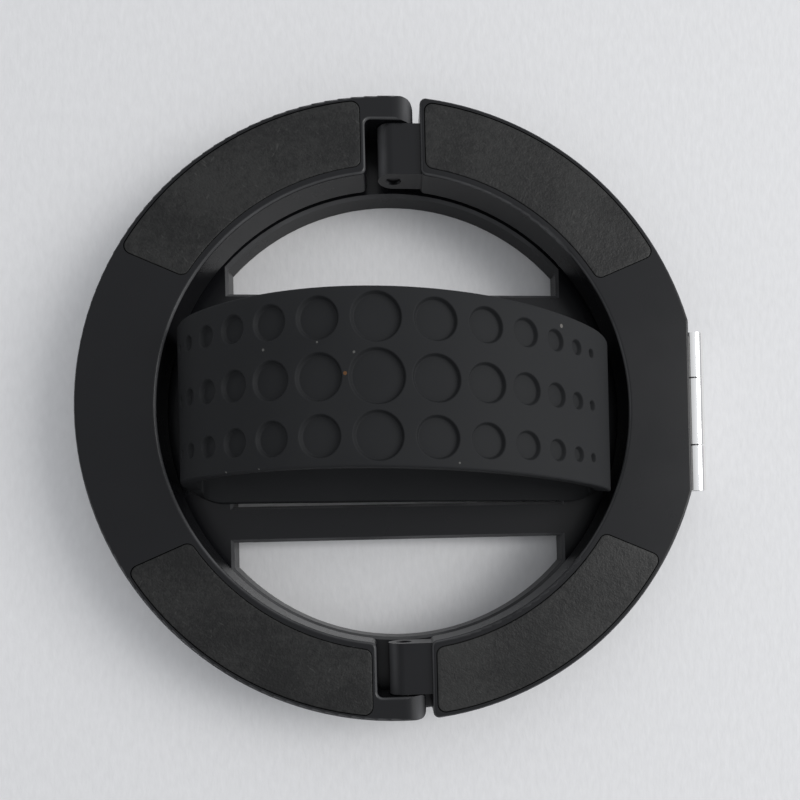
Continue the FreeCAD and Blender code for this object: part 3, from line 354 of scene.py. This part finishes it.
# Finger strap
# One closed band of moulded silicone, arched above the ring, its wider flat run bonded to the side
# plates of the base. Three rows of round dimples, smaller toward the ends, give the fingers grip.
# The band has crept a little to the left and lies a little askew.
ARCH_HALF_WIDTH, ARCH_SPRING, FLANK_RADIUS = 7.5, 5.0, 10.8
BAND_THICK, RUN_THICK, OUTER_TURN, INNER_TURN = 1.5, 1.2, 1.6, 0.2
EDGE_ROUND, LIP_ROUND, FLARE_LENGTH = 0.24, 0.12, 4.2
strap_low, strap_high = (np.array(corner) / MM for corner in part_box("finger_strap"))
half_span, run_half_width = strap_high[0], strap_high[1]
flank_x = half_span - FLANK_RADIUS
rise = strap_high[2] - ARCH_SPRING
crown_drop = (flank_x ** 2 - (rise - FLANK_RADIUS) ** 2) / (2 * (rise - FLANK_RADIUS))
crown_radius = crown_drop + rise
flank_join = math.atan2(crown_drop, flank_x)
crown_half = (math.pi / 2 - flank_join) * crown_radius
arch_half = crown_half + flank_join * FLANK_RADIUS


def on_arch(along, depth):
    """Points in X and Z at lengths along the arch from its crown, at depths below its outer face."""
    away = np.clip(np.abs(along) - crown_half, 0, None)
    flank = away > 0
    angle = np.where(flank, flank_join - away / FLANK_RADIUS, math.pi / 2 - np.abs(along) / crown_radius)
    radius = np.where(flank, FLANK_RADIUS, crown_radius) - depth
    x = np.where(flank, flank_x, 0) + radius * np.cos(angle)
    return np.c_[np.sign(along) * x, ARCH_SPRING - np.where(flank, 0, crown_drop) + radius * np.sin(angle)]


ARCH_STATIONS, SIDE_STATIONS, TURN_STATIONS, RUN_STATIONS = 146, 7, 11, 60
arch_stations = np.linspace(-arch_half, arch_half, ARCH_STATIONS)
side_heights = np.linspace(1, 0, SIDE_STATIONS)[1:]
turn_angles = np.linspace(0, math.pi / 2, TURN_STATIONS)[1:]
run_shares = np.linspace(1, -1, RUN_STATIONS)[1:-1]


def strap_outline(inset, floor_inset, turn):
    """The band's closed outline in X and Z: over the arch, down, along the run and up again."""
    span, floor = half_span - inset, strap_low[2] + floor_inset
    low = floor + turn
    side = np.c_[np.full(len(side_heights), span), low + side_heights * (ARCH_SPRING - low)]
    corner = np.c_[span - turn * (1 - np.cos(turn_angles)), low - turn * np.sin(turn_angles)]
    run = np.c_[run_shares * (span - turn), np.full(len(run_shares), floor)]
    down = np.concatenate([side, corner])
    return np.concatenate([on_arch(arch_stations, inset), down, run, down[::-1] * (-1, 1)])


outer = strap_outline(0.0, 0.0, OUTER_TURN)
inner = strap_outline(BAND_THICK, RUN_THICK, INNER_TURN)
thick = np.linalg.norm(inner - outer, axis=1)
inward = (inner - outer) / thick[:, None]
# The band grows wider over its turn and the first stretch of the run
FULLY_TURNED = 0.999
turned = np.clip((strap_low[2] + OUTER_TURN - outer[:, 1]) / OUTER_TURN, 0, 1)
along_run = np.where(turned > FULLY_TURNED, half_span - OUTER_TURN - np.abs(outer[:, 0]), 0)
reach = OUTER_TURN * np.arcsin(turned) + along_run
flare = np.clip(reach / FLARE_LENGTH, 0, 1)
widen = 1 + flare * flare * (3 - 2 * flare) * (run_half_width / ARCH_HALF_WIDTH - 1)

SWAY_CROWN, SWAY_SLANT, SWAY_BEND, SWAY_FULL_HEIGHT = 0.36, -0.036, -0.0018, 8.0
RUN_SWAY, RUN_SLANT = -0.30, -0.007


def sway(place):
    """How far the limp band has shifted forward or back at points in X and Z."""
    x, z = place[:, 0], place[:, 1]
    lift = np.clip((z - strap_low[2]) / (SWAY_FULL_HEIGHT - strap_low[2]), 0, 1)
    run_shift = RUN_SWAY + RUN_SLANT * x
    return run_shift + lift * (SWAY_CROWN + SWAY_SLANT * x + SWAY_BEND * x * x - run_shift)


# Loops round the band, from its outer face over an edge and a lip to the inside and back; the
# dimpled face is left open within its rim
FACE_LINES, INSIDE_LINES, ROUND_STEPS = 37, 9, 6
quarter = np.linspace(0, math.pi / 2, ROUND_STEPS)
face_edge, lip_edge = ARCH_HALF_WIDTH - EDGE_ROUND, ARCH_HALF_WIDTH - LIP_ROUND
face_lines = np.linspace(-face_edge, face_edge, FACE_LINES)
edge = [(ARCH_HALF_WIDTH - EDGE_ROUND * (1 - math.sin(turn)), EDGE_ROUND * (1 - math.cos(turn)))
        for turn in quarter[1:]]
lip = [(ARCH_HALF_WIDTH - LIP_ROUND * (1 - math.cos(turn)), thick - LIP_ROUND * (1 - math.sin(turn)))
       for turn in quarter[::2]]
inside = [(y, thick) for y in np.linspace(lip_edge, -lip_edge, INSIDE_LINES)[1:-1]]
loops = [(y, 0.0) for y in face_lines] + edge + lip + inside
loops += [(-y, depth) for y, depth in (edge + lip)[::-1]]
last_line, last_station = len(face_lines) - 1, len(arch_stations) - 1
numbers = np.full((len(loops), len(outer)), -1)
points, faces = [], []
for line, (y, depth) in enumerate(loops):
    place = outer + inward * np.broadcast_to(depth, len(outer))[:, None]
    shift = sway(place)
    for station in range(len(outer)):
        if not (0 < line < last_line and 0 < station < last_station):
            numbers[line, station] = len(points)
            points.append((place[station, 0], y * widen[station] + shift[station], place[station, 1]))
for line in range(len(loops)):
    for station in range(len(outer)):
        if line >= last_line or station >= last_station:
            beyond, ahead = (line + 1) % len(loops), (station + 1) % len(outer)
            faces.append((numbers[line, station], numbers[line, ahead],
                          numbers[beyond, ahead], numbers[beyond, station]))

# The dimpled face is drawn flat, each dimple as rings of points, meshed, and laid over the arch
DIMPLE_COLUMNS, DIMPLE_ROW_PITCH, DIMPLE_SLIDE = 7, 4.92, 1.94
FIRST_PITCH, PITCH_STEP, FIRST_DIAMETER, DIAMETER_STEP, SIDE_ROW_SHARE = 4.97, 0.53, 4.75, 0.62, 0.9
DIMPLE_DEPTH, RING_POINT_PITCH, CLEAR_OF_RINGS = 0.42, 0.13, 0.12
# Each ring of a dimple: how far it lies outside the dimple's radius, and how deep
DIMPLE_RINGS = ((0.08, 0.0), (0.0, 0.0), (-0.05, 0.07), (-0.15, 0.35), (-0.20, DIMPLE_DEPTH),
                (-0.28, DIMPLE_DEPTH))
rim = [(0, station) for station in range(last_station)]
rim += [(line, last_station) for line in range(last_line)]
rim += [(last_line, station) for station in range(last_station, 0, -1)]
rim += [(line, 0) for line in range(last_line, 0, -1)]
flat = [(arch_stations[station], face_lines[line], 0.0) for line, station in rim]
dimples = []
centre, pitch, diameter = 0.0, FIRST_PITCH, FIRST_DIAMETER
for column in range(DIMPLE_COLUMNS):
    for side in ((1, -1) if column else (1,)):
        for row in (-1, 0, 1):
            radius = diameter / 2 * (SIDE_ROW_SHARE if row else 1.0)
            dimples.append((side * centre - DIMPLE_SLIDE, row * DIMPLE_ROW_PITCH, radius))
    centre, pitch, diameter = centre + pitch, pitch - PITCH_STEP, diameter - DIAMETER_STEP
for middle, row_y, radius in dimples:
    ring_count = round(2 * math.pi * radius / RING_POINT_PITCH)
    ring_angles = np.linspace(0, 2 * math.pi, ring_count, endpoint=False)
    for out, depth in DIMPLE_RINGS:
        flat += [(middle + (radius + out) * math.cos(angle), row_y + (radius + out) * math.sin(angle), depth)
                 for angle in ring_angles]
spots = np.array(dimples)
for along in arch_stations[1:-1]:
    for y in face_lines[1:-1]:
        from_edge = np.hypot(along - spots[:, 0], y - spots[:, 1]) - spots[:, 2]
        if (from_edge < DIMPLE_RINGS[-1][0] - CLEAR_OF_RINGS).any():
            flat.append((along, y, DIMPLE_DEPTH))
        elif (from_edge > DIMPLE_RINGS[0][0] + CLEAR_OF_RINGS).all():
            flat.append((along, y, 0.0))
flat = np.array(flat)
drawn = [Vector(spot) for spot in flat[:, :2]]
rim_edges = [(spot, (spot + 1) % len(rim)) for spot in range(len(rim))]
PLAIN_TRIANGLES, SAME_SPOT = 0, 1e-6
_, _, triangles, sources, _, _ = delaunay_2d_cdt(drawn, rim_edges, [], PLAIN_TRIANGLES, SAME_SPOT)
laid = on_arch(flat[:, 0], flat[:, 2])
laid_y = flat[:, 1] + sway(laid)
face_numbers = [numbers[line, station] for line, station in rim]
face_numbers += range(len(points), len(points) + len(flat) - len(rim))
points += [(laid[spot, 0], laid_y[spot], laid[spot, 1]) for spot in range(len(rim), len(flat))]
faces += [tuple(face_numbers[sources[corner][0]] for corner in triangle) for triangle in triangles]

SILICONE_DARK, SILICONE_PALE = (0.0188, 0.0195, 0.0208), (0.0254, 0.0262, 0.0276)
SILICONE_DUST = (0.17, 0.16, 0.15)
SILICONE_ROUGHNESS, SILICONE_UNEVEN = 0.64, 0.16
silicone, tree, shader = new_finish("dark_silicone", Roughness=SILICONE_ROUGHNESS, Specular_IOR_Level=0.09)
handled = use_effect(tree, cloud, Scale=210.0)
tone = mottle(tree, handled, SILICONE_DARK, SILICONE_PALE)
specks = use_effect(tree, dust, Scale=480.0, Share=0.035, Radius=0.085)
tone = mix_colours(tree, specks, tone, SILICONE_DUST)
# Lint: each fleck's middle and radius in millimetres, and its colour
LINT_GREY, LINT_BROWN = (0.11, 0.11, 0.105), (0.13, 0.065, 0.03)
LINT = (((-7.66, 4.80, 18.97), 0.13, LINT_GREY), ((-3.80, 2.43, 19.83), 0.11, LINT_GREY),
        ((-4.57, 0.71, 19.70), 0.16, LINT_BROWN), ((-6.65, -5.98, 19.25), 0.08, LINT_GREY),
        ((4.77, -6.83, 19.67), 0.09, LINT_GREY), ((-6.85, 3.41, 19.20), 0.09, LINT_GREY),
        ((-11.54, 3.22, 17.46), 0.12, LINT_GREY), ((-15.33, -6.91, 15.22), 0.11, LINT_GREY),
        ((-12.18, -6.87, 17.13), 0.09, LINT_GREY))
silicone_place = tree.nodes.new("ShaderNodeTexCoord")
for middle, radius, colour in LINT:
    away = tree.nodes.new("ShaderNodeVectorMath")
    away.operation = "DISTANCE"
    away.inputs[1].default_value = Vector(middle) * MM
    tree.links.new(silicone_place.outputs["Object"], away.inputs[0])
    tone = mix_colours(tree, reckon(tree, "LESS_THAN", away.outputs["Value"], radius * MM), tone, colour)
tree.links.new(tone, shader.inputs["Base Color"])
uneven = reckon(tree, "MULTIPLY_ADD", handled, SILICONE_UNEVEN, SILICONE_ROUGHNESS)
tree.links.new(uneven, shader.inputs["Roughness"])
roughen(tree, shader, noise(tree, scale=5200.0, detail=2.0), strength=0.12, distance=0.00003)
strap = smooth_mesh("silicone_strap", points, faces, silicone)
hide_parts("finger_strap")
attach(strap, "base")


# Upper ring
# Two C-shaped halves of the same blasted black alloy. The left half ends in outer lugs and the
# right half in inner tongues, and a pin through each pair makes the fold.
paint(black_alloy, "left_half_frame", "right_half_frame")


# Pads
# Four thin sheets of fine-grained synthetic leather, bonded flush into recesses of the halves.
# They are a little paler than the alloy and carry short scuffs.
LEATHER_DARK, LEATHER_PALE = (0.0004, 0.0004, 0.0004), (0.0140, 0.0140, 0.0134)
SCUFF_TONE, SCUFF_FROM, SCUFF_GAIN, USUAL_SCUFF = (0.10, 0.10, 0.095), 0.66, 3.0, 0.6
leather, tree, shader = new_finish("fine_grained_leather", Roughness=0.52, Specular_IOR_Level=0.42)
grain = noise(tree, scale=5200.0, detail=3.0)
creases = noise(tree, scale=1500.0, detail=4.0)
pebbled = reckon(tree, "ADD", grain, creases)
handled = use_effect(tree, cloud, Scale=120.0)
worked = reckon(tree, "MULTIPLY_ADD", pebbled, 0.5, handled)
tone = mix_colours(tree, ramp(tree, worked, start=0.30, end=0.70), LEATHER_DARK, LEATHER_PALE)
for scale, turn in ((3200.0, 0.5), (3800.0, -0.9)):
    strokes = use_effect(tree, streaks, Scale=scale, Squash=0.25, Turn=turn)
    scuffs = reckon(tree, "MULTIPLY", reckon(tree, "SUBTRACT", strokes, SCUFF_FROM), SCUFF_GAIN)
    patchy = reckon(tree, "MULTIPLY", scuffs, reckon(tree, "ADD", handled, USUAL_SCUFF))
    tone = mix_colours(tree, reckon(tree, "MAXIMUM", patchy, 0.0), tone, SCUFF_TONE)
tree.links.new(tone, shader.inputs["Base Color"])
roughen(tree, shader, pebbled, strength=0.60, distance=0.00008)

PAD_OUTER, PAD_INNER, PAD_NEAR, PAD_CORNER = 30.5, 24.05, 3.2, 0.8
PAD_FAR_SLANT, PAD_FAR_OFFSET = math.radians(23.27), 3.72
PAD_ROLL, PAD_BORDER = 0.12, 0.6
PAD_OUTER_STEPS, PAD_INNER_STEPS, PAD_CORNER_STEPS, PAD_ROLL_STEPS = 90, 70, 8, 6


def pad_outline(inset):
    """The outline of the pad in the upper right quarter, drawn in by an inset."""
    round_off = PAD_CORNER - inset
    corners = []
    for radius in (PAD_OUTER - PAD_CORNER, PAD_INNER + PAD_CORNER):
        near = math.acos((PAD_NEAR + PAD_CORNER) / radius)
        far = PAD_FAR_SLANT + math.asin((PAD_FAR_OFFSET + PAD_CORNER) / radius)
        corners.append((radius, near, far))
    (r_out, near_out, far_out), (r_in, near_in, far_in) = corners
    square, slant = math.pi, PAD_FAR_SLANT - math.pi / 2

    def swept(x, y, radius, start, end, count):
        return [(x + radius * math.cos(angle), y + radius * math.sin(angle))
                for angle in np.linspace(start, end, count)]

    def corner(radius, at, start, end):
        return swept(radius * math.cos(at), radius * math.sin(at), round_off, start, end, PAD_CORNER_STEPS)

    return (swept(0, 0, PAD_OUTER - inset, near_out, far_out, PAD_OUTER_STEPS)[1:-1]
            + corner(r_out, far_out, far_out, slant)
            + corner(r_in, far_in, slant, far_in - math.pi)
            + swept(0, 0, PAD_INNER + inset, far_in, near_in, PAD_INNER_STEPS)[1:-1]
            + corner(r_in, near_in, near_in + math.pi, square)
            + corner(r_out, near_out, square, near_out))


PADS = (("upper_right_pad", 1, 1, "right_half"), ("lower_right_pad", 1, -1, "right_half"),
        ("upper_left_pad", -1, 1, "left_half"), ("lower_left_pad", -1, -1, "left_half"))
for node, side_x, side_y, half in PADS:
    pad_low, pad_high = (corner[2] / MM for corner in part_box(node))
    rings = [(0.0, pad_low)]
    rings += [(PAD_ROLL * (1 - math.cos(turn)), pad_high - PAD_ROLL * (1 - math.sin(turn)))
              for turn in np.linspace(0, math.pi / 2, PAD_ROLL_STEPS)]
    rings.append((PAD_BORDER, pad_high))
    points = [(side_x * x, side_y * y, z) for inset, z in rings for x, y in pad_outline(inset)]
    around = len(points) // len(rings)
    faces = [tuple(range(around)), tuple(range(len(points) - 1, len(points) - around - 1, -1))]
    for ring in range(len(rings) - 1):
        faces += band_between(ring * around, (ring + 1) * around, around)
    if side_x * side_y < 0:
        faces = [face[::-1] for face in faces]
    pad = smooth_mesh(node.replace("pad", "leather"), points, faces, leather)
    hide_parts(node)
    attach(pad, half)


# Lift hinge
# Two polished steel leaves with rolled knuckles on a dark pin, one leaf screwed to each ring.
# Handling leaves fine scratches along the knuckles.
STEEL_DARK, STEEL_PALE = (0.88, 0.875, 0.86), (0.96, 0.955, 0.945)
POLISHED_ROUGHNESS, SCRATCH_ROUGHNESS = 0.03, 0.06
bright_steel, tree, shader = new_finish("polished_steel", Metallic=1.0, Roughness=0.06)
scratch = use_effect(tree, streaks, Scale=5200.0, Squash=0.05, Turn=0.0)
tree.links.new(mix_colours(tree, scratch, STEEL_DARK, STEEL_PALE), shader.inputs["Base Color"])
scratched = reckon(tree, "MULTIPLY_ADD", scratch, SCRATCH_ROUGHNESS, POLISHED_ROUGHNESS)
tree.links.new(scratched, shader.inputs["Roughness"])
paint(bright_steel, "base_hinge_leaf", "ring_hinge_leaf")


# Pins and leaf screws
# Steel pins, sunk below the outside of what they join, and small countersunk screws, all coloured near black
# as a painted shade for the dark pin holes, and a little oily.
# Both colours are painted shade: the steel is made near black to stand in for the dark of the pin holes
PIN_SHADE_DARK, PIN_SHADE_PALE = (0.030, 0.030, 0.034), (0.075, 0.074, 0.076)
shade_dark_steel, tree, shader = new_finish("shade_darkened_steel", Metallic=1.0, Roughness=0.34)
handled = use_effect(tree, cloud, Scale=900.0)
tree.links.new(mottle(tree, handled, PIN_SHADE_DARK, PIN_SHADE_PALE), shader.inputs["Base Color"])
roughen(tree, shader, noise(tree, scale=7000.0, detail=2.0), strength=0.15, distance=0.00002)
paint(shade_dark_steel, "hinge_pin", "upper_fold_pin", "lower_fold_pin", "base_leaf_screws", "ring_leaf_screws")
